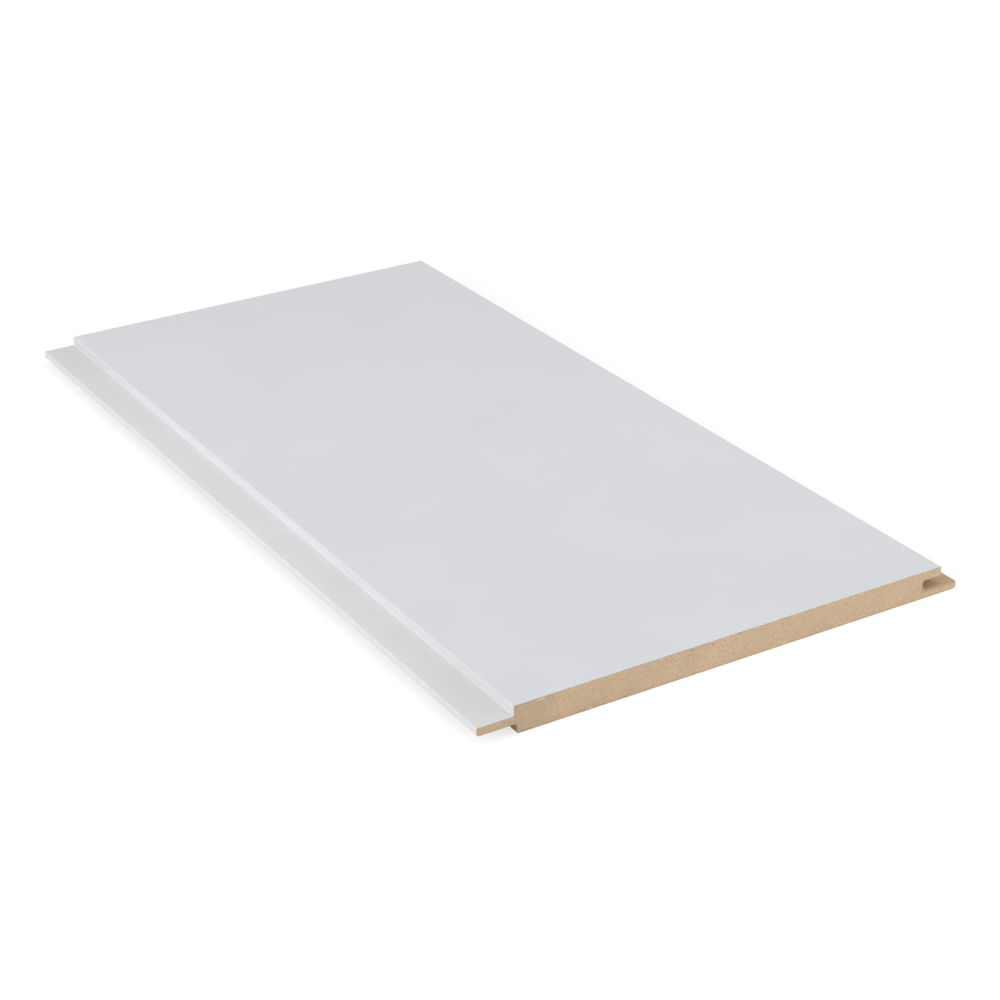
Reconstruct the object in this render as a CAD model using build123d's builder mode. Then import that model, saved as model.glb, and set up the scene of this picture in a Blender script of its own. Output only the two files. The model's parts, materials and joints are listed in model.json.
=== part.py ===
from build123d import *
import os

os.makedirs("parts", exist_ok=True)

# Tongue and groove wall panel, milled from one MDF board. It lies on its back with the painted
# face up. +X runs across it to the grooved edge, +Y along it. Sizes are in millimetres.
board_thickness = 12.0
board_length = 420.0
face_width = 198.0

# Fit of the joint. The tongue is longer than the groove is deep, so that a strip of it stays
# in view between two panels as a sunk line.
shadow_gap = 7.0
joint_clearance = 0.35
tip_clearance = 0.4
lip_clearance = 0.3

# Tongue, milled along the -X edge.
face_to_tongue = 4.3
tongue_thickness = 3.6
tongue_undercut = 1.5
tongue_top_radius = 0.7
tongue_low_radius = 1.2
tongue_root_radius = 0.5

# Groove, milled along the +X edge between a short upper lip and a long lower lip.
groove_depth = 8.9
groove_floor_radius = 1.8
groove_roof_radius = 0.5
lip_tip_radius = 1.2
lip_mouth_radius = 0.4

# Eased corners of the face and of the back.
face_edge_radius = 0.6
back_edge_radius = 0.4

# Heights above the back, worked out from the tongue.
tongue_top = board_thickness - face_to_tongue
tongue_bottom = tongue_top - tongue_thickness
groove_roof = tongue_top + joint_clearance
groove_floor = tongue_bottom - joint_clearance

# Reaches past the two edges of the face.
tongue_reach = shadow_gap + groove_depth - tip_clearance
lip_reach = shadow_gap + tongue_undercut - lip_clearance

# Places across the board, with the middle of the whole width at zero.
overall_width = tongue_reach + face_width + lip_reach
tongue_tip = -overall_width / 2
face_left = tongue_tip + tongue_reach
face_right = face_left + face_width
groove_back = face_right - groove_depth
lip_tip = face_right + lip_reach
undercut_wall = face_left + tongue_undercut

# Corners of the section, each with the radius that the cutter leaves there, clockwise from
# the edge of the face beside the tongue.
section_corners = [
    ((face_left, board_thickness), face_edge_radius),
    ((face_right, board_thickness), face_edge_radius),
    ((face_right, groove_roof), lip_mouth_radius),
    ((groove_back, groove_roof), groove_roof_radius),
    ((groove_back, groove_floor), groove_floor_radius),
    ((lip_tip, groove_floor), lip_tip_radius),
    ((lip_tip, 0), lip_tip_radius),
    ((undercut_wall, 0), back_edge_radius),
    ((undercut_wall, tongue_bottom), tongue_root_radius),
    ((tongue_tip, tongue_bottom), tongue_low_radius),
    ((tongue_tip, tongue_top), tongue_top_radius),
    ((face_left, tongue_top), tongue_root_radius),
]

with BuildPart() as panel:
    with BuildSketch(Plane.XZ) as section:
        with BuildLine():
            Polyline([place for place, radius in section_corners], close=True)
        make_face()
        for place, radius in section_corners:
            fillet(section.vertices().sort_by_distance((place[0], place[1], 0))[0], radius)
    extrude(amount=board_length / 2, both=True)

panel.part.label = "tongue_and_groove_panel"
export_step(panel.part, "parts/tongue_and_groove_panel.step")
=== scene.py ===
import json
import math

import bmesh
import bpy
from mathutils import Matrix, Vector

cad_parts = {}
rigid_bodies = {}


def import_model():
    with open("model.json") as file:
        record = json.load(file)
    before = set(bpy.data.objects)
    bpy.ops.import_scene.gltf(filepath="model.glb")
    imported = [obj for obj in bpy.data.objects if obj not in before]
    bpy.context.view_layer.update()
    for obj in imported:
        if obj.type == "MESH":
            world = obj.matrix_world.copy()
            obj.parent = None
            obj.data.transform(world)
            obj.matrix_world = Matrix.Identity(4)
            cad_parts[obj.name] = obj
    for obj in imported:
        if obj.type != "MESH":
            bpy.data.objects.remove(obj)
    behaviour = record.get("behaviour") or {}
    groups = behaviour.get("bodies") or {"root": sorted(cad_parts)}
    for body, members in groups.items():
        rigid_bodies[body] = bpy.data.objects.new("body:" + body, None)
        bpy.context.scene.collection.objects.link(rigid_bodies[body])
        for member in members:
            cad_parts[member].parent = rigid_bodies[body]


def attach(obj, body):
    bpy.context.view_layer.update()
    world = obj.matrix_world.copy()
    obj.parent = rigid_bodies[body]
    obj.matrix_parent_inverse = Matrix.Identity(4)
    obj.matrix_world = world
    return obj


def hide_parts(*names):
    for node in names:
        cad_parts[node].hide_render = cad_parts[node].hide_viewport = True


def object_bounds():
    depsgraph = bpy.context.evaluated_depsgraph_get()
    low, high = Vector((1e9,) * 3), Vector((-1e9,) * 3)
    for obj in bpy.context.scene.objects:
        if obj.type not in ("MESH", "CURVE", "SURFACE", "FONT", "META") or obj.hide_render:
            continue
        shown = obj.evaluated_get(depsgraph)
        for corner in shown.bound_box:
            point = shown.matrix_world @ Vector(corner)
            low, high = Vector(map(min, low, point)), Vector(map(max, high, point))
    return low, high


mm = 0.001
fullTurn = 2 * math.pi

for thing in list(bpy.data.objects):                       # a new file's own cube, light and camera
    bpy.data.objects.remove(thing)
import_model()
cadLow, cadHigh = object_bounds()
panelNode = "tongue_and_groove_panel"
print("frame loaded", [round(side / mm, 2) for side in cadHigh - cadLow], "mm")


# Small helpers for objects and node trees

socketKinds = {
    "Geometry": "NodeSocketGeometry",
    "Float": "NodeSocketFloat",
    "Int": "NodeSocketInt",
    "Vector": "NodeSocketVector",
    "Material": "NodeSocketMaterial",
}
usualSpan = (0.3, 0.7)           # most of a noise's values lie between these two


def addObject(name, data):
    thing = bpy.data.objects.new(name, data)
    bpy.context.scene.collection.objects.link(thing)
    return thing


def newTree(treeKind, name, inputs, outputs):
    tree = bpy.data.node_groups.new(name, treeKind)
    for label, kind in inputs.items():
        tree.interface.new_socket(name=label, in_out="INPUT", socket_type=socketKinds[kind])
    for label, kind in outputs.items():
        tree.interface.new_socket(name=label, in_out="OUTPUT", socket_type=socketKinds[kind])
    given = tree.nodes.new("NodeGroupInput").outputs
    result = tree.nodes.new("NodeGroupOutput").inputs
    return tree, given, result


def feed(tree, socket, value):
    if isinstance(value, bpy.types.NodeSocket):
        tree.links.new(value, socket)
    else:
        socket.default_value = value


def addNode(tree, kind, inputs=None, **settings):
    node = tree.nodes.new(kind)
    for key, value in settings.items():
        setattr(node, key, value)
    for key, value in (inputs or {}).items():
        feed(tree, node.inputs[key], value)
    return node


def firstOut(tree, kind, inputs=None, **settings):
    return addNode(tree, kind, inputs, **settings).outputs[0]


def calc(tree, operation, *values, clamp=False):
    inputs = dict(enumerate(values))
    return firstOut(tree, "ShaderNodeMath", inputs, operation=operation, use_clamp=clamp)


def vecCalc(tree, operation, *values):
    return firstOut(tree, "ShaderNodeVectorMath", dict(enumerate(values)), operation=operation)


def vecLength(tree, vector):
    return addNode(tree, "ShaderNodeVectorMath", {0: vector}, operation="LENGTH").outputs["Value"]


def splitXYZ(tree, vector):
    return addNode(tree, "ShaderNodeSeparateXYZ", {0: vector}).outputs


def joinXYZ(tree, **parts):
    return firstOut(tree, "ShaderNodeCombineXYZ", parts)


def greyTone(tree, value):
    return joinXYZ(tree, X=value, Y=value, Z=value)


def remap(tree, value, fromLow, fromHigh, toLow=0.0, toHigh=1.0, smooth=False):
    inputs = {
        "Value": value,
        "From Min": fromLow,
        "From Max": fromHigh,
        "To Min": toLow,
        "To Max": toHigh,
    }
    kind = "SMOOTHSTEP" if smooth else "LINEAR"
    return firstOut(tree, "ShaderNodeMapRange", inputs, interpolation_type=kind)


def noise(tree, vector, scale, detail=2.0, roughness=0.5, distortion=0.0):
    inputs = {
        "Vector": vector,
        "Scale": scale,
        "Detail": detail,
        "Roughness": roughness,
        "Distortion": distortion,
    }
    return addNode(tree, "ShaderNodeTexNoise", inputs).outputs["Fac"]


def wavering(tree, vector, scale, size):
    swing = calc(tree, "SUBTRACT", noise(tree, vector, scale), 0.5)
    return calc(tree, "MULTIPLY", swing, size)


def mixColor(tree, factor, first, second, blend="MIX"):
    inputs = {0: factor, 6: first, 7: second}
    return addNode(tree, "ShaderNodeMix", inputs, data_type="RGBA", blend_type=blend).outputs[2]


def tint(tree, color, other, mask, share):
    return mixColor(tree, calc(tree, "MULTIPLY", mask, share), color, other)


# Section of the board, across X and up Z

board = {
    "length": cadHigh.y - cadLow.y,
    "thickness": cadHigh.z - cadLow.z,
    "tongueTip": cadLow.x,
    "lipTip": cadHigh.x,
    "tongueReach": 15.5 * mm,
    "lipReach": 8.2 * mm,
    "faceToTongue": 4.3 * mm,
    "tongueThickness": 3.6 * mm,
    "undercut": 1.5 * mm,        # how far the wall under the tongue stands back
    "clearance": 0.35 * mm,      # between a tongue and each lip
    "grooveDepth": 8.9 * mm,
    "faceRadius": 0.6 * mm,
    "backRadius": 0.4 * mm,
    "rootRadius": 0.5 * mm,
    "tongueTopRadius": 0.7 * mm,
    "tongueLowRadius": 1.2 * mm,
    "grooveRoofRadius": 0.5 * mm,
    "grooveFloorRadius": 1.8 * mm,
    "lipTipRadius": 1.2 * mm,
    "lipMouthRadius": 0.4 * mm,
    "arcSteps": 7,
    "cell": 0.6 * mm,            # mesh size on the sawn ends
    "cutSlack": 1e-7,            # how near a point counts as lying on a cutting plane
    "weld": 0.02 * mm,
}
top = board["thickness"]
halfLength = board["length"] / 2
faceLeft = board["tongueTip"] + board["tongueReach"]
faceRight = board["lipTip"] - board["lipReach"]
tongueTop = top - board["faceToTongue"]
tongueBottom = tongueTop - board["tongueThickness"]
grooveRoof = tongueTop + board["clearance"]
grooveFloor = tongueBottom - board["clearance"]
grooveBack = faceRight - board["grooveDepth"]
undercutWall = faceLeft + board["undercut"]


def sectionCorners():
    return [
        (faceLeft, top, board["faceRadius"]),
        (faceLeft, tongueTop, board["rootRadius"]),
        (board["tongueTip"], tongueTop, board["tongueTopRadius"]),
        (board["tongueTip"], tongueBottom, board["tongueLowRadius"]),
        (undercutWall, tongueBottom, board["rootRadius"]),
        (undercutWall, 0, board["backRadius"]),
        (board["lipTip"], 0, board["lipTipRadius"]),
        (board["lipTip"], grooveFloor, board["lipTipRadius"]),
        (grooveBack, grooveFloor, board["grooveFloorRadius"]),
        (grooveBack, grooveRoof, board["grooveRoofRadius"]),
        (faceRight, grooveRoof, board["lipMouthRadius"]),
        (faceRight, top, board["faceRadius"]),
    ]


def roundedOutline(corners, steps):
    points = []
    for index, (x, z, radius) in enumerate(corners):
        here = Vector((x, z))
        toLast = (Vector(corners[index - 1][:2]) - here).normalized()
        toNext = (Vector(corners[(index + 1) % len(corners)][:2]) - here).normalized()
        centre = here + (toLast + toNext) * radius          # every corner is square
        for step in range(steps + 1):
            angle = math.pi / 2 * step / steps
            points.append(centre - toNext * radius * math.cos(angle) - toLast * radius * math.sin(angle))
    return points


def makeSectionSheet():
    bm = bmesh.new()
    rim = [bm.verts.new((p.x, 0, p.y)) for p in roundedOutline(sectionCorners(), board["arcSteps"])]
    bm.faces.new(rim)
    cuts = [((1, 0, 0), board["tongueTip"], board["lipTip"]), ((0, 0, 1), 0, top)]
    for direction, low, high in cuts:
        count = round((high - low) / board["cell"])
        for index in range(1, count):
            place = low + (high - low) * index / count
            bmesh.ops.bisect_plane(
                bm, geom=bm.verts[:] + bm.edges[:] + bm.faces[:], dist=board["cutSlack"],
                plane_co=Vector(direction) * place, plane_no=direction,
            )
    bmesh.ops.remove_doubles(bm, verts=bm.verts[:], dist=board["weld"])
    bm.normal_update()
    if sum(face.normal.y for face in bm.faces) > 0:         # the near end looks along -Y
        bmesh.ops.reverse_faces(bm, faces=bm.faces[:])
    mesh = bpy.data.meshes.new("sectionSheet")
    bm.to_mesh(mesh)
    bm.free()
    return mesh


# Sweeps the section along the board and leaves the blade's relief on both ends

sawCut = {
    "Length": board["length"],
    "Rings": 56,
    "Cut Back": 0.02 * mm,       # the cut stands this far inside the nominal end
    "Wave Pitch": 3.1 * mm,
    "Wave Depth": 0.02 * mm,
    "Grain Depth": 0.08 * mm,
    "Blade Radius": 125 * mm,
    "Blade Height": 70 * mm,
    "Chip Size": 0.45 * mm,
    "Board Top": top,
}
sawTexture = {
    "weld": 0.002 * mm,
    "endSlack": 0.01 * mm,       # a point this near the nominal end belongs to the cut
    "driftScale": 90.0,
    "drift": 3 * mm,             # how far the waves stray from true arcs
    "grain": (900.0, 4.0, 0.65),  # scale, detail and roughness of the noise
    "grainSpan": (0.35, 0.7),
    "chip": (310.0, 3.0, 0.6),
    "chipSpan": (0.56, 0.70),
    "chipDrop": 0.6,             # of a chip's size
}


def sweepSection(tree, given, half):
    section = given["Section"]
    faceCount = addNode(tree, "GeometryNodeInputMeshEdgeNeighbors").outputs["Face Count"]
    onRim = firstOut(tree, "FunctionNodeCompare", {2: faceCount, 3: 1}, data_type="INT", operation="EQUAL")
    outline = firstOut(tree, "GeometryNodeMeshToCurve", {"Mesh": section, "Selection": onRim})
    profile = firstOut(tree, "GeometryNodeTransform", {0: outline, "Rotation": (math.pi / 2, 0, 0)})

    # Rings lie closer together towards the two ends
    line = firstOut(tree, "GeometryNodeCurvePrimitiveLine", {"End": (0, 1, 0)})
    rings = firstOut(tree, "GeometryNodeResampleCurve", {"Curve": line, "Count": given["Rings"]})
    factor = addNode(tree, "GeometryNodeSplineParameter").outputs["Factor"]
    swing = calc(tree, "SINE", calc(tree, "MULTIPLY", calc(tree, "SUBTRACT", factor, 0.5), math.pi))
    place = joinXYZ(tree, Y=calc(tree, "MULTIPLY", swing, half))
    path = firstOut(tree, "GeometryNodeSetPosition", {0: rings, "Position": place})
    walls = firstOut(tree, "GeometryNodeCurveToMesh", {"Curve": path, "Profile Curve": profile})

    toNear = joinXYZ(tree, Y=calc(tree, "MULTIPLY", half, -1))
    toFar = joinXYZ(tree, Y=half)
    near = firstOut(tree, "GeometryNodeTransform", {0: section, "Translation": toNear})
    far = firstOut(tree, "GeometryNodeTransform", {0: section, "Translation": toFar})
    farFlipped = firstOut(tree, "GeometryNodeFlipFaces", {0: far})
    joined = addNode(tree, "GeometryNodeJoinGeometry")
    for part in (farFlipped, near, walls):
        tree.links.new(part, joined.inputs[0])
    weld = {0: joined.outputs[0], "Distance": sawTexture["weld"]}
    return firstOut(tree, "GeometryNodeMergeByDistance", weld)


def sawnDepth(tree, given, position, split):
    rise = calc(tree, "SUBTRACT", split["Z"], given["Blade Height"])
    radiusSquared = calc(tree, "POWER", given["Blade Radius"], 2)
    reach = calc(tree, "SQRT", calc(tree, "SUBTRACT", radiusSquared, calc(tree, "POWER", rise, 2)))
    sweepAt = calc(tree, "ADD", split["X"], reach)
    drift = calc(tree, "MULTIPLY", noise(tree, position, sawTexture["driftScale"]), sawTexture["drift"])
    phase = calc(tree, "DIVIDE", calc(tree, "ADD", sweepAt, drift), given["Wave Pitch"])
    wave = calc(tree, "ADD", calc(tree, "SINE", calc(tree, "MULTIPLY", phase, fullTurn)), 1.0)
    grain = remap(tree, noise(tree, position, *sawTexture["grain"]), *sawTexture["grainSpan"])
    depth = calc(tree, "ADD", given["Cut Back"], calc(tree, "MULTIPLY", wave, given["Wave Depth"]))
    return calc(tree, "ADD", depth, calc(tree, "MULTIPLY", grain, given["Grain Depth"]))


def chipAmount(tree, given, position, split, fromEnd):
    fromTop = calc(tree, "SUBTRACT", given["Board Top"], split["Z"])
    away = calc(tree, "DIVIDE", calc(tree, "ADD", fromTop, fromEnd), given["Chip Size"])
    nearby = calc(tree, "SUBTRACT", 1.0, away, clamp=True)
    spots = remap(tree, noise(tree, position, *sawTexture["chip"]), *sawTexture["chipSpan"], smooth=True)
    return calc(tree, "MULTIPLY", spots, nearby)


def makeSweepTree():
    numbers = {label: "Float" for label in sawCut}
    inputs = {"Section": "Geometry", **numbers, "Rings": "Int", "Finish": "Material"}
    tree, given, result = newTree("GeometryNodeTree", "sweepSection", inputs, {"Panel": "Geometry"})
    half = calc(tree, "MULTIPLY", given["Length"], 0.5)
    closed = sweepSection(tree, given, half)
    position = firstOut(tree, "GeometryNodeInputPosition")
    split = splitXYZ(tree, position)
    fromEnd = calc(tree, "SUBTRACT", half, calc(tree, "ABSOLUTE", split["Y"]))

    # The paint film breaks away in small chips along the top of each cut
    chip = chipAmount(tree, given, position, split, fromEnd)
    mark = {0: closed, "Name": "chip", "Value": chip}
    marked = firstOut(tree, "GeometryNodeStoreNamedAttribute", mark, data_type="FLOAT", domain="POINT")
    drop = calc(tree, "MULTIPLY", calc(tree, "MULTIPLY", chip, given["Chip Size"]), -sawTexture["chipDrop"])
    chipped = firstOut(tree, "GeometryNodeSetPosition", {0: marked, "Offset": joinXYZ(tree, Z=drop)})

    # The blade cuts both ends back from their nominal places
    compared = {0: fromEnd, 1: sawTexture["endSlack"]}
    onEnd = firstOut(tree, "FunctionNodeCompare", compared, operation="LESS_THAN")
    depth = sawnDepth(tree, given, position, split)
    inward = calc(tree, "MULTIPLY", calc(tree, "SIGN", split["Y"]), calc(tree, "MULTIPLY", depth, -1))
    moved = {0: chipped, "Selection": onEnd, "Offset": joinXYZ(tree, Y=inward)}
    cut = firstOut(tree, "GeometryNodeSetPosition", moved)

    real = firstOut(tree, "GeometryNodeRealizeInstances", {0: cut})
    painted = firstOut(tree, "GeometryNodeSetMaterial", {0: real, "Material": given["Finish"]})
    tree.links.new(painted, result["Panel"])
    return tree


def runTree(tree, mesh, name, values):
    holder = addObject(name, mesh)
    modifier = holder.modifiers.new(name, "NODES")
    modifier.node_group = tree
    for item in tree.interface.items_tree:
        if item.in_out == "INPUT" and item.name in values:
            modifier[item.identifier] = values[item.name]
    graph = bpy.context.evaluated_depsgraph_get()
    evaluated = holder.evaluated_get(graph)
    made = bpy.data.meshes.new_from_object(evaluated, preserve_all_data_layers=True, depsgraph=graph)
    holder.modifiers.remove(modifier)
    bpy.data.objects.remove(holder)
    made.name = name
    return made


# Flecks of pale and dark fibre in bare board

fleckLook = {
    "felt": (3.0, 0.62, 0.4),    # detail, roughness and distortion of each noise
    "fine": (2.0, 0.55, 0.2),
    "other": (3.0, 0.6, 0.5),
    "fineScale": 2.7,            # of the felt's scale
    "otherScale": 1.3,
    "otherShift": (0.37, 0.11, 0.73),  # so that the dark flecks don't follow the pale ones
    "strongest": 0.72,           # a fleck begins at this value less the share asked for
    "softness": 0.10,
    "feltHeight": 0.6,
    "fineHeight": 0.4,
}


def makeFleckGroup():
    inputs = {
        "Vector": "Vector",
        "Stretch": "Vector",
        "Size": "Float",
        "Pale Share": "Float",
        "Dark Share": "Float",
    }
    outputs = {"Pale": "Float", "Dark": "Float", "Tone": "Float", "Height": "Float"}
    tree, given, result = newTree("ShaderNodeTree", "fibreFlecks", inputs, outputs)
    along = vecCalc(tree, "MULTIPLY", given["Vector"], given["Stretch"])
    shifted = vecCalc(tree, "ADD", along, fleckLook["otherShift"])
    scale = calc(tree, "DIVIDE", 1.0, given["Size"])
    fineScale = calc(tree, "MULTIPLY", scale, fleckLook["fineScale"])
    otherScale = calc(tree, "MULTIPLY", scale, fleckLook["otherScale"])
    felt = noise(tree, along, scale, *fleckLook["felt"])
    fine = noise(tree, along, fineScale, *fleckLook["fine"])
    other = noise(tree, shifted, otherScale, *fleckLook["other"])
    for label, source in (("Pale", felt), ("Dark", other)):
        begin = calc(tree, "SUBTRACT", fleckLook["strongest"], given[label + " Share"])
        full = calc(tree, "ADD", begin, fleckLook["softness"])
        tree.links.new(remap(tree, source, begin, full, smooth=True), result[label])
    tree.links.new(remap(tree, fine, *usualSpan), result["Tone"])
    feltPart = calc(tree, "MULTIPLY", felt, fleckLook["feltHeight"])
    finePart = calc(tree, "MULTIPLY", fine, fleckLook["fineHeight"])
    tree.links.new(calc(tree, "ADD", feltPart, finePart), result["Height"])
    return tree


# Denser skin that the press leaves on both faces of the board

skinLook = {
    "waverScale": 160.0,
    "end": 1.2,                  # of the skin's depth
}


def makeSkinGroup():
    inputs = {"Vector": "Vector", "Thickness": "Float", "Depth": "Float"}
    tree, given, result = newTree("ShaderNodeTree", "pressedSkin", inputs, {"Skin": "Float"})
    height = splitXYZ(tree, given["Vector"])["Z"]
    nearest = calc(tree, "MINIMUM", height, calc(tree, "SUBTRACT", given["Thickness"], height))
    waver = wavering(tree, given["Vector"], skinLook["waverScale"], given["Depth"])
    depth = calc(tree, "DIVIDE", calc(tree, "ADD", nearest, waver), given["Depth"])
    tree.links.new(remap(tree, depth, skinLook["end"], 0.0, smooth=True), result["Skin"])
    return tree


# Unevenness of a sprayed paint film

filmLook = {
    "peel": (2.0, 0.45),         # detail and roughness of each noise
    "swell": (2.0, 0.5),
    "drift": (3.0, 0.5),
    "swellScale": 0.12,          # of the peel's scale
    "peelHeight": 0.35,
    "swellHeight": 0.65,
    "dust": (1900.0, 1.0, 0.5),  # scale, detail and roughness
    "dustSpan": (0.80, 0.88),
}


def makeFilmGroup():
    inputs = {"Vector": "Vector", "Peel Size": "Float", "Drift Size": "Float"}
    outputs = {"Height": "Float", "Drift": "Float", "Dust": "Float"}
    tree, given, result = newTree("ShaderNodeTree", "paintFilm", inputs, outputs)
    place = given["Vector"]
    peelScale = calc(tree, "DIVIDE", 1.0, given["Peel Size"])
    swellScale = calc(tree, "DIVIDE", filmLook["swellScale"], given["Peel Size"])
    driftScale = calc(tree, "DIVIDE", 1.0, given["Drift Size"])
    peel = noise(tree, place, peelScale, *filmLook["peel"])
    swell = noise(tree, place, swellScale, *filmLook["swell"])
    peelPart = calc(tree, "MULTIPLY", peel, filmLook["peelHeight"])
    swellPart = calc(tree, "MULTIPLY", swell, filmLook["swellHeight"])
    dust = remap(tree, noise(tree, place, *filmLook["dust"]), *filmLook["dustSpan"], smooth=True)
    tree.links.new(calc(tree, "ADD", peelPart, swellPart), result["Height"])
    tree.links.new(noise(tree, place, driftScale, *filmLook["drift"]), result["Drift"])
    tree.links.new(dust, result["Dust"])
    return tree


fleckGroup = makeFleckGroup()
skinGroup = makeSkinGroup()
filmGroup = makeFilmGroup()
print("shader groups made")


def newMaterial(name, ior):
    material = bpy.data.materials.new(name)
    material.use_nodes = True
    tree = material.node_tree
    shader = tree.nodes["Principled BSDF"]
    shader.inputs["IOR"].default_value = ior
    place = addNode(tree, "ShaderNodeTexCoord").outputs["Object"]
    return material, tree, shader, place


def useGroup(tree, group, inputs):
    return addNode(tree, "ShaderNodeGroup", inputs, node_tree=group).outputs


def readMark(tree, name):
    return addNode(tree, "ShaderNodeAttribute", attribute_name=name).outputs["Fac"]


def finishShader(tree, shader, color, roughness, height, distance):
    normal = firstOut(tree, "ShaderNodeBump", {"Height": height, "Distance": distance, "Strength": 1.0})
    tree.links.new(color, shader.inputs["Base Color"])
    tree.links.new(roughness, shader.inputs["Roughness"])
    tree.links.new(normal, shader.inputs["Normal"])


# Satin white paint, smoother on the face than on the milled step and tongue

facePaint = {
    "color": (0.690, 0.702, 0.728, 1),
    "peel": 1.4 * mm,
    "drift": 60 * mm,
    "roughness": 0.40,
    "bump": 0.010 * mm,
    "paintedEndShade": 0.03,
}
edgePaint = {
    "color": (0.725, 0.731, 0.745, 1),
    "peel": 0.9 * mm,
    "drift": 25 * mm,
    "roughness": 0.50,
    "bump": 0.022 * mm,
    "paintedEndShade": 0.13,
}
paintWear = {
    "ior": 1.5,
    "shadeSpan": (0.975, 1.02),
    "fibreColor": (0.60, 0.46, 0.30, 1),
    "dustColor": (0.45, 0.42, 0.38, 1),
    "endShadeColor": (0.26, 0.24, 0.21, 1),
    "endShadeReach": 150 * mm,      # how far the painted shade runs in from each end
    "endShadeCurve": 2,             # above 1 it gathers at the end
    "wornSpan": (0.45, 0.62),
    "wornShare": 0.10,
    "dustShare": 0.12,
    "chipSpan": (0.12, 0.45),
    "smoother": -0.04,           # changes to the paint's roughness
    "rougher": 0.05,
    "wornRougher": 0.2,
}


def makePaint(name, look):
    wear = paintWear
    material, tree, shader, place = newMaterial(name, wear["ior"])
    film = useGroup(tree, filmGroup, {
        "Vector": place,
        "Peel Size": look["peel"],
        "Drift Size": look["drift"],
    })
    shade = remap(tree, film["Drift"], *usualSpan, *wear["shadeSpan"])
    color = mixColor(tree, 1.0, look["color"], greyTone(tree, shade), "MULTIPLY")
    worn = calc(tree, "MULTIPLY", readMark(tree, "arris"), remap(tree, film["Height"], *wear["wornSpan"]))
    color = tint(tree, color, wear["fibreColor"], worn, wear["wornShare"])
    color = tint(tree, color, wear["dustColor"], film["Dust"], wear["dustShare"])
    # painted shade: the paint grows darker towards each end of the board
    along = calc(tree, "ABSOLUTE", splitXYZ(tree, place)["Y"])
    toEnd = remap(tree, along, halfLength - wear["endShadeReach"], halfLength)
    paintedEndShade = calc(tree, "POWER", toEnd, wear["endShadeCurve"])
    color = tint(tree, color, wear["endShadeColor"], paintedEndShade, look["paintedEndShade"])
    chipped = remap(tree, readMark(tree, "chip"), *wear["chipSpan"])
    color = mixColor(tree, chipped, color, wear["fibreColor"])
    smoothest = look["roughness"] + wear["smoother"]
    roughest = look["roughness"] + wear["rougher"]
    rough = remap(tree, film["Drift"], *usualSpan, smoothest, roughest)
    rough = calc(tree, "ADD", rough, calc(tree, "MULTIPLY", worn, wear["wornRougher"]))
    finishShader(tree, shader, color, rough, film["Height"], look["bump"])
    return material


# Bare fibreboard: sawn across, milled along, and sanded on the back

bareLooks = {
    "sawnBoard": {
        "mid": (0.560, 0.415, 0.270, 1), "pale": (0.70, 0.58, 0.43, 1), "dark": (0.34, 0.235, 0.14, 1),
        "skin": (0.42, 0.32, 0.215, 1), "stretch": (0.38, 1.0, 1.15), "size": 0.55 * mm,
        "paleShare": 0.15, "darkShare": 0.12, "skinDepth": 0.8 * mm, "bump": 0.10 * mm, "sawn": True,
    },
    "milledBoard": {
        "mid": (0.56, 0.390, 0.230, 1), "pale": (0.70, 0.54, 0.36, 1), "dark": (0.34, 0.215, 0.115, 1),
        "skin": (0.48, 0.34, 0.205, 1), "stretch": (1.0, 0.22, 1.0), "size": 0.6 * mm,
        "paleShare": 0.13, "darkShare": 0.14, "skinDepth": 0.7 * mm, "bump": 0.05 * mm, "sawn": False,
    },
    "sandedBack": {
        "mid": (0.53, 0.395, 0.255, 1), "pale": (0.66, 0.54, 0.39, 1), "dark": (0.33, 0.23, 0.14, 1),
        "skin": (0.50, 0.37, 0.24, 1), "stretch": (1.0, 0.55, 1.0), "size": 0.7 * mm,
        "paleShare": 0.16, "darkShare": 0.15, "skinDepth": 0.1 * mm, "bump": 0.02 * mm, "sawn": False,
    },
}
bareWear = {
    "ior": 1.42,
    "roughSpan": (0.86, 0.76),   # in the hollows and on the crests
    "cloud": (55.0, 3.0, 0.55),  # scale, detail and roughness
    "cloudSpan": (0.93, 1.06),
    "toneSpan": (0.94, 1.06),
    "skinMix": 0.75,
    "darkMix": 0.45,
    "paleMix": 0.60,
    "spraySpan": (0.35, 0.95),   # the paint's overspray fades in between these two
}
sawnMarks = {
    "film": 0.14 * mm,           # thickness of the paint, seen on the cut
    "filmBegin": 1.3,            # of the film's thickness
    "filmFull": 0.9,
    "filmWaver": 1100.0,
    "filmMix": 0.85,
    "burntFrom": 13 * mm,        # where the darker start of the saw's cut fades away
    "burntTo": 21 * mm,
    "burntShade": 0.88,
    "burntWaver": (120.0, 9 * mm),  # scale and size
    "lipShadeReach": 2.1 * mm,    # how far the painted shade reaches down below the groove
    "lipShadeFrom": -1.5 * mm,    # across the board, from the groove's bottom
    "lipShadeTo": 1.0 * mm,
    "lipShadeWaver": (700.0, 0.8 * mm),
    "lipShadeMix": 0.75,
    "tornScale": 1300.0,
    "tornRagged": 1.1,           # of a spot's half size
    "tornSpan": (1.6, 1.2),
    "tornMix": 0.75,
}
tornPlaces = [                   # x from the face's edge, z, half width and half height of each torn spot
    (11.6 * mm, 11.1 * mm, 2.2 * mm, 0.45 * mm), (64.0 * mm, 11.2 * mm, 1.2 * mm, 0.35 * mm),
    (121.0 * mm, 0.9 * mm, 1.5 * mm, 0.35 * mm), (158.0 * mm, 11.3 * mm, 1.8 * mm, 0.30 * mm),
    (33.0 * mm, 0.7 * mm, 1.1 * mm, 0.30 * mm), (178.0 * mm, 3.2 * mm, 0.9 * mm, 0.40 * mm),
]


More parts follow.
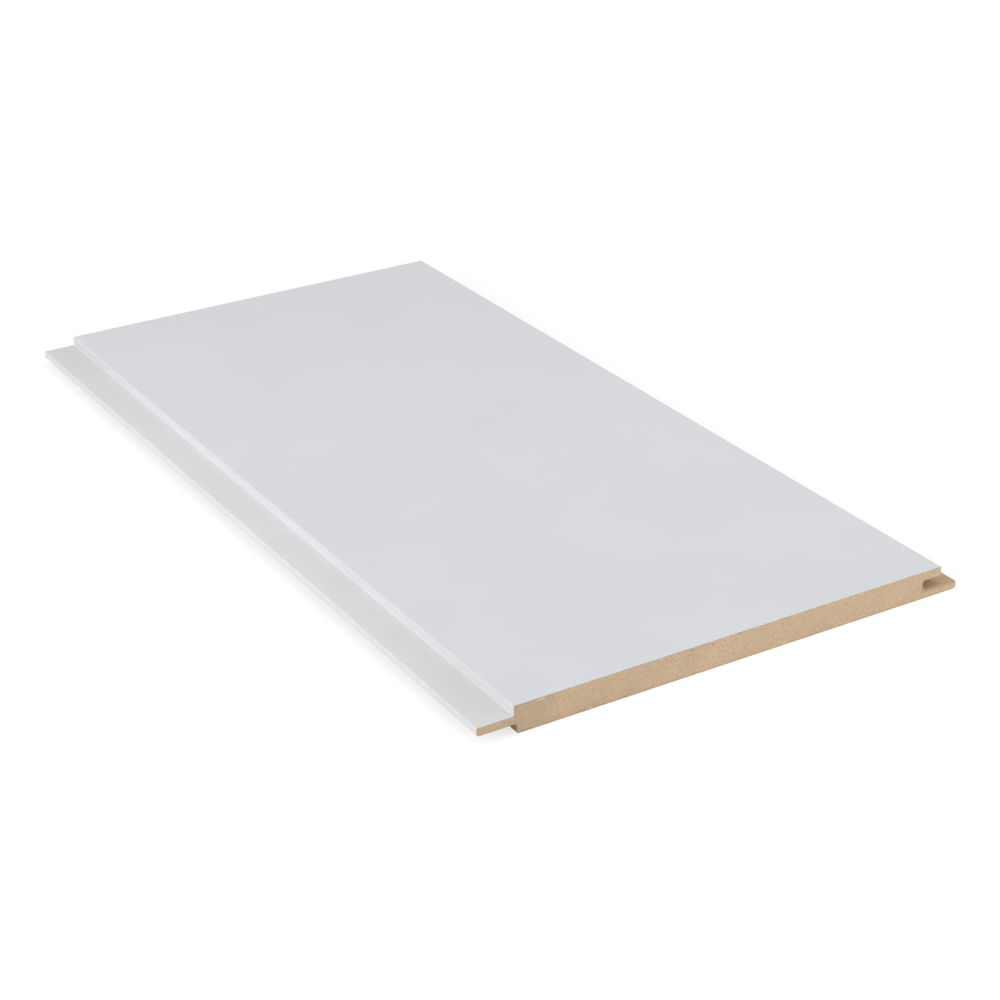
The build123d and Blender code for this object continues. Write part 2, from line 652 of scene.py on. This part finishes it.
def tornSpots(tree, place):
    ragged = calc(tree, "MULTIPLY", noise(tree, place, sawnMarks["tornScale"]), sawnMarks["tornRagged"])
    mask = 0.0
    for x, z, wide, high in tornPlaces:
        toSpot = vecCalc(tree, "SUBTRACT", place, (faceLeft + x, 0, z))
        inSpot = vecCalc(tree, "MULTIPLY", toSpot, (1 / wide, 0, 1 / high))
        reach = calc(tree, "ADD", vecLength(tree, inSpot), ragged)
        mask = calc(tree, "MAXIMUM", remap(tree, reach, *sawnMarks["tornSpan"]), mask)
    return mask


def burntSide(tree, place):
    across = splitXYZ(tree, place)["X"]
    across = calc(tree, "ADD", across, wavering(tree, place, *sawnMarks["burntWaver"]))
    begin = faceLeft + sawnMarks["burntFrom"]
    end = faceLeft + sawnMarks["burntTo"]
    return greyTone(tree, remap(tree, across, begin, end, sawnMarks["burntShade"], 1.0, smooth=True))


# Painted shade: the sawn end darkens just below the groove's opening
def lipShade(tree, place):
    split = splitXYZ(tree, place)
    height = calc(tree, "ADD", split["Z"], wavering(tree, place, *sawnMarks["lipShadeWaver"]))
    rise = remap(tree, height, grooveFloor - sawnMarks["lipShadeReach"], grooveFloor)
    below = calc(tree, "LESS_THAN", split["Z"], grooveRoof - board["grooveRoofRadius"])
    begin = grooveBack + sawnMarks["lipShadeFrom"]
    full = grooveBack + sawnMarks["lipShadeTo"]
    onLip = remap(tree, split["X"], begin, full, smooth=True)
    return calc(tree, "MULTIPLY", calc(tree, "MULTIPLY", rise, below), onLip)


def filmEdge(tree, place):
    film = sawnMarks["film"]
    begin = sawnMarks["filmBegin"] * film
    full = sawnMarks["filmFull"] * film
    split = splitXYZ(tree, place)
    waver = wavering(tree, place, sawnMarks["filmWaver"], film)
    height = calc(tree, "ADD", split["Z"], waver)
    side = calc(tree, "ADD", split["X"], waver)
    onFace = remap(tree, height, top - begin, top - full)
    atStep = remap(tree, side, faceLeft + begin, faceLeft + full)
    overTongue = remap(tree, height, tongueTop - begin, tongueTop - full)
    return calc(tree, "MAXIMUM", onFace, calc(tree, "MULTIPLY", atStep, overTongue))


def makeBare(name, look):
    wear = bareWear
    material, tree, shader, place = newMaterial(name, wear["ior"])
    flecks = useGroup(tree, fleckGroup, {
        "Vector": place,
        "Stretch": look["stretch"],
        "Size": look["size"],
        "Pale Share": look["paleShare"],
        "Dark Share": look["darkShare"],
    })
    skin = useGroup(tree, skinGroup, {"Vector": place, "Thickness": top, "Depth": look["skinDepth"]})["Skin"]
    cloud = remap(tree, noise(tree, place, *wear["cloud"]), *usualSpan, *wear["cloudSpan"])
    tone = calc(tree, "MULTIPLY", cloud, remap(tree, flecks["Tone"], 0.0, 1.0, *wear["toneSpan"]))
    color = tint(tree, look["mid"], look["skin"], skin, wear["skinMix"])
    color = tint(tree, color, look["dark"], flecks["Dark"], wear["darkMix"])
    color = tint(tree, color, look["pale"], flecks["Pale"], wear["paleMix"])
    color = mixColor(tree, 1.0, color, greyTone(tree, tone), "MULTIPLY")
    if look["sawn"]:
        color = mixColor(tree, 1.0, color, burntSide(tree, place), "MULTIPLY")
        # painted shade on the sawn end below the groove
        color = tint(tree, color, look["dark"], lipShade(tree, place), sawnMarks["lipShadeMix"])
        color = tint(tree, color, look["pale"], tornSpots(tree, place), sawnMarks["tornMix"])
        color = tint(tree, color, facePaint["color"], filmEdge(tree, place), sawnMarks["filmMix"])
    else:
        uneven = calc(tree, "SUBTRACT", flecks["Height"], 0.5)
        spray = calc(tree, "ADD", readMark(tree, "overspray"), uneven)
        color = mixColor(tree, remap(tree, spray, *wear["spraySpan"]), color, edgePaint["color"])
    rough = remap(tree, flecks["Height"], *usualSpan, *wear["roughSpan"])
    finishShader(tree, shader, color, rough, flecks["Height"], look["bump"])
    return material


finishes = [makePaint("facePaint", facePaint), makePaint("edgePaint", edgePaint)]
finishes += [makeBare(name, look) for name, look in bareLooks.items()]
finishNames = [finish.name for finish in finishes]
print("finishes made", finishNames)


# The panel itself

borders = {
    "facing": 0.7,               # how squarely a face looks along an axis to count as doing so
    "slack": 0.05 * mm,
    "endDepth": 0.6 * mm,        # the sawn relief lies within this depth of the nominal end
    "arrisReach": 1.2 * mm,
    "endArris": 0.2 * mm,        # the sawn edges wear less than the milled ones
    "sprayReach": 3.0 * mm,
    "sharpAngle": math.radians(38),
}


def finishOf(face):
    middle = face.calc_center_median()
    out = face.normal
    slack = borders["slack"]
    tipSide = board["tongueTip"] + board["tongueLowRadius"] / 3
    tipLow = tongueBottom + board["tongueLowRadius"] / 2
    nearEnd = abs(middle.y) > halfLength - borders["endDepth"]
    onStep = middle.x < faceLeft + slack and middle.z > tongueTop - board["tongueTopRadius"] - slack
    onTip = middle.x < tipSide and middle.z > tipLow
    onLip = middle.x > faceRight - slack and middle.z > grooveRoof + board["lipMouthRadius"] / 2
    if nearEnd and abs(out.y) > borders["facing"]:
        return "sawnBoard"
    if middle.z > top - board["faceRadius"] - slack:
        return "facePaint"
    if onStep or onTip or onLip:
        return "edgePaint"
    if middle.z < board["backRadius"] / 3 and out.z < -borders["facing"]:
        return "sandedBack"
    return "milledBoard"


def nearness(gap, reach):
    return max(0.0, 1 - gap / reach)


def markVertices(mesh):
    places = [(x, z) for x, z, radius in sectionCorners()]
    sharpCorners = [Vector(place) for place in places if place != (faceLeft, tongueTop)]
    paintBorders = [Vector((board["tongueTip"], tongueBottom)), Vector((faceRight, grooveRoof))]
    arris = mesh.attributes.new("arris", "FLOAT", "POINT")
    spray = mesh.attributes.new("overspray", "FLOAT", "POINT")
    for index, vertex in enumerate(mesh.vertices):
        here = Vector((vertex.co.x, vertex.co.z))
        toCorner = min((here - corner).length for corner in sharpCorners)
        toEnd = halfLength - abs(vertex.co.y) + borders["endArris"]
        toBorder = min((here - border).length for border in paintBorders)
        arris.data[index].value = nearness(min(toCorner, toEnd), borders["arrisReach"])
        spray.data[index].value = nearness(toBorder, borders["sprayReach"])


def makePanel():
    swept = runTree(makeSweepTree(), makeSectionSheet(), "panel", {**sawCut, "Finish": finishes[0]})
    swept.materials.clear()
    for finish in finishes:
        swept.materials.append(finish)
    bm = bmesh.new()
    bm.from_mesh(swept)
    bmesh.ops.recalc_face_normals(bm, faces=bm.faces[:])
    if bm.calc_volume(signed=True) < 0:
        bmesh.ops.reverse_faces(bm, faces=bm.faces[:])
    for face in bm.faces:
        face.material_index = finishNames.index(finishOf(face))
        face.smooth = True
    openEdges = sum(1 for edge in bm.edges if not edge.is_manifold)
    volume = round(bm.calc_volume() / mm ** 3)
    print("panel: faces", len(bm.faces), "open edges", openEdges, "volume", volume, "cubic mm")
    bm.to_mesh(swept)
    bm.free()
    swept.set_sharp_from_angle(angle=borders["sharpAngle"])
    markVertices(swept)
    return addObject("panel", swept)


panel = makePanel()
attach(panel, "root")
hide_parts(panelNode)


# Loose fibres that the blade and the cutter leave lying on the bare board

fuzz = {
    "Density": 1.1e6,            # on the sawn ends, for each square metre
    "Short": 0.5 * mm,
    "Long": 1.5 * mm,
    "Radius": 0.035,             # of a fibre's length, like the lift
    "Lift": 0.10,
    "Seed": 7,
}
fuzzShare = {"sawnBoard": 1.0, "milledBoard": 0.10}
fibreLook = {
    "ior": 1.42,
    "root": (0, 0, -0.04),       # places along a fibre, of its length
    "bend": (0.5, 0.10, 0.0),
    "spineSteps": 2,
    "sides": 3,
    "toneScale": 700.0,
    "toneSpan": (0.35, 0.65),
    "dark": (0.50, 0.37, 0.235, 1),
    "pale": (0.74, 0.62, 0.46, 1),
    "roughSpan": (0.75, 0.9),
}


def makeFibreFinish():
    material, tree, shader, place = newMaterial("looseFibre", fibreLook["ior"])
    change = noise(tree, place, fibreLook["toneScale"])
    paleness = remap(tree, change, *fibreLook["toneSpan"])
    color = mixColor(tree, paleness, fibreLook["dark"], fibreLook["pale"])
    rough = remap(tree, change, *usualSpan, *fibreLook["roughSpan"])
    tree.links.new(color, shader.inputs["Base Color"])
    tree.links.new(rough, shader.inputs["Roughness"])
    return material


def makeStrand(tree, given):
    spine = firstOut(tree, "GeometryNodeCurveQuadraticBezier", {
        "Resolution": fibreLook["spineSteps"],
        "Start": fibreLook["root"],
        "Middle": fibreLook["bend"],
        "End": joinXYZ(tree, X=1.0, Z=given["Lift"]),
    })
    circle = {"Resolution": fibreLook["sides"], "Radius": given["Radius"]}
    girth = firstOut(tree, "GeometryNodeCurvePrimitiveCircle", circle)
    strand = {"Curve": spine, "Profile Curve": girth, "Fill Caps": True}
    return firstOut(tree, "GeometryNodeCurveToMesh", strand)


def randomValue(tree, low, high, seed):
    inputs = {2: low, 3: high, "Seed": seed}
    return addNode(tree, "FunctionNodeRandomValue", inputs, data_type="FLOAT").outputs[1]


def makeFuzzTree():
    numbers = {label: "Float" for label in fuzz}
    kinds = {"Board": "Geometry", **numbers, "Seed": "Int", "Finish": "Material"}
    tree, given, result = newTree("GeometryNodeTree", "looseFibres", kinds, {"Fibres": "Geometry"})
    share = firstOut(tree, "GeometryNodeInputNamedAttribute", {"Name": "fuzzShare"}, data_type="FLOAT")
    density = calc(tree, "MULTIPLY", share, given["Density"])
    spread = {"Mesh": given["Board"], "Density": density, "Seed": given["Seed"]}
    points = addNode(tree, "GeometryNodeDistributePointsOnFaces", spread).outputs
    turn = joinXYZ(tree, Z=randomValue(tree, 0.0, fullTurn, given["Seed"]))
    turned = {0: points["Rotation"], 1: turn}
    instances = {
        "Points": points[0],
        "Instance": makeStrand(tree, given),
        "Rotation": firstOut(tree, "FunctionNodeRotateRotation", turned, rotation_space="LOCAL"),
        "Scale": randomValue(tree, given["Short"], given["Long"], given["Seed"]),
    }
    placed = firstOut(tree, "GeometryNodeInstanceOnPoints", instances)
    real = firstOut(tree, "GeometryNodeRealizeInstances", {0: placed})
    finished = firstOut(tree, "GeometryNodeSetMaterial", {0: real, "Material": given["Finish"]})
    tree.links.new(finished, result["Fibres"])
    return tree


def makeFuzz():
    bed = panel.data.copy()
    share = bed.attributes.new("fuzzShare", "FLOAT", "FACE")
    for face in bed.polygons:
        share.data[face.index].value = fuzzShare.get(finishNames[face.material_index], 0.0)
    mesh = runTree(makeFuzzTree(), bed, "sawn_fibres", {**fuzz, "Finish": makeFibreFinish()})
    for vertex in mesh.vertices:                            # nothing stands past the board's own box
        vertex.co = [min(max(value, low), high) for value, low, high in zip(vertex.co, cadLow, cadHigh)]
    print("fibres: faces", len(mesh.polygons))
    return addObject("sawn_fibres", mesh)


fibres = makeFuzz()
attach(fibres, "root")


# Floor, light and camera

studio = {
    "floorSize": 7.0,
    "floorHeight": -0.05 * mm,
    "floorColor": (0.84, 0.84, 0.84, 1),
    "floorShown": 0.58,          # share of plain white that the camera sees in the floor
    "floorWhite": 1.22,
    "white": (1, 1, 1, 1),
    "ambient": 0.50,
    "fadeFrom": 0.45,            # where the floor turns plain white for the camera
    "fadeTo": 1.3,
}
lamps = {                        # only the top light mirrors in the paint
    "keyLight": {
        "power": 24.0, "width": 1.4, "height": 1.4, "place": (-1.90, 0.00, 0.90), "mirrors": False,
    },
    "topLight": {
        "power": 4.8, "width": 1.4, "height": 1.4, "place": (0.10, -0.40, 1.60), "mirrors": True,
    },
    "fillLight": {
        "power": 10.5, "width": 1.5, "height": 0.4, "place": (0.90, -1.20, 0.32), "mirrors": False,
    },
}
view = {
    "target": (-0.62 * mm, -42.71 * mm, 0.21 * mm),
    "distance": 1.01147,
    "azimuth": math.radians(-30.544),
    "elevation": math.radians(25.958),
    "roll": math.radians(-1.078),
    "lens": 84.144,
    "sensor": 36,
    "clipNear": 0.05,
    "clipFar": 40,
}


def makeFloorFinish():
    material = bpy.data.materials.new("paleFloor")
    material.use_nodes = True
    tree = material.node_tree
    tree.nodes.clear()
    matte = firstOut(tree, "ShaderNodeBsdfDiffuse", {"Color": studio["floorColor"]})
    shine = {"Color": studio["white"], "Strength": studio["floorWhite"]}
    white = firstOut(tree, "ShaderNodeEmission", shine)
    away = vecLength(tree, addNode(tree, "ShaderNodeTexCoord").outputs["Object"])
    share = remap(tree, away, studio["fadeFrom"], studio["fadeTo"], studio["floorShown"], 1.0, smooth=True)
    seen = calc(tree, "MULTIPLY", addNode(tree, "ShaderNodeLightPath").outputs["Is Camera Ray"], share)
    mixed = firstOut(tree, "ShaderNodeMixShader", {0: seen, 1: matte, 2: white})
    addNode(tree, "ShaderNodeOutputMaterial", {"Surface": mixed})
    return material


def makeFloor():
    half = studio["floorSize"] / 2
    corners = [(-half, -half), (half, -half), (half, half), (-half, half)]
    bm = bmesh.new()
    bm.faces.new([bm.verts.new((x, y, studio["floorHeight"])) for x, y in corners])
    mesh = bpy.data.meshes.new("floor")
    bm.to_mesh(mesh)
    bm.free()
    mesh.materials.append(makeFloorFinish())
    return addObject("floor", mesh)


def makeWorld():
    world = bpy.data.worlds.new("studioAir")
    world.use_nodes = True
    tree = world.node_tree
    tree.nodes.clear()
    path = addNode(tree, "ShaderNodeLightPath").outputs
    seen = calc(tree, "MAXIMUM", path["Is Camera Ray"], path["Is Glossy Ray"])
    strength = calc(tree, "ADD", calc(tree, "MULTIPLY", seen, 1.0 - studio["ambient"]), studio["ambient"])
    air = firstOut(tree, "ShaderNodeBackground", {"Color": studio["white"], "Strength": strength})
    addNode(tree, "ShaderNodeOutputWorld", {"Surface": air})
    bpy.context.scene.world = world


def addSoftbox(name, power, width, height, place, mirrors):
    light = bpy.data.lights.new(name, "AREA")
    light.shape = "ELLIPSE"
    light.size = width
    light.size_y = height
    light.energy = power
    lamp = addObject(name, light)
    lamp.location = place
    lamp.visible_glossy = mirrors
    lamp.rotation_euler = (-Vector(place)).to_track_quat("-Z", "Y").to_euler()


def makeCamera():
    azimuth = view["azimuth"]
    elevation = view["elevation"]
    roll = view["roll"]
    level = math.cos(elevation)
    back = Vector((math.sin(azimuth) * level, -math.cos(azimuth) * level, math.sin(elevation)))
    right = Vector((math.cos(azimuth), math.sin(azimuth), 0))
    up = back.cross(right)
    turnedRight = right * math.cos(roll) + up * math.sin(roll)
    turnedUp = up * math.cos(roll) - right * math.sin(roll)
    facing = Matrix((turnedRight, turnedUp, back)).transposed().to_4x4()
    camera = addObject("camera", bpy.data.cameras.new("camera"))
    camera.data.sensor_width = view["sensor"]
    camera.data.lens = view["lens"]
    camera.data.clip_start = view["clipNear"]
    camera.data.clip_end = view["clipFar"]
    camera.matrix_world = Matrix.Translation(Vector(view["target"]) + back * view["distance"]) @ facing
    bpy.context.scene.camera = camera


floor = makeFloor()
makeWorld()
for name, lamp in lamps.items():
    addSoftbox(name, **lamp)
makeCamera()
bpy.context.scene.view_settings.view_transform = "Standard"
print("studio set up")
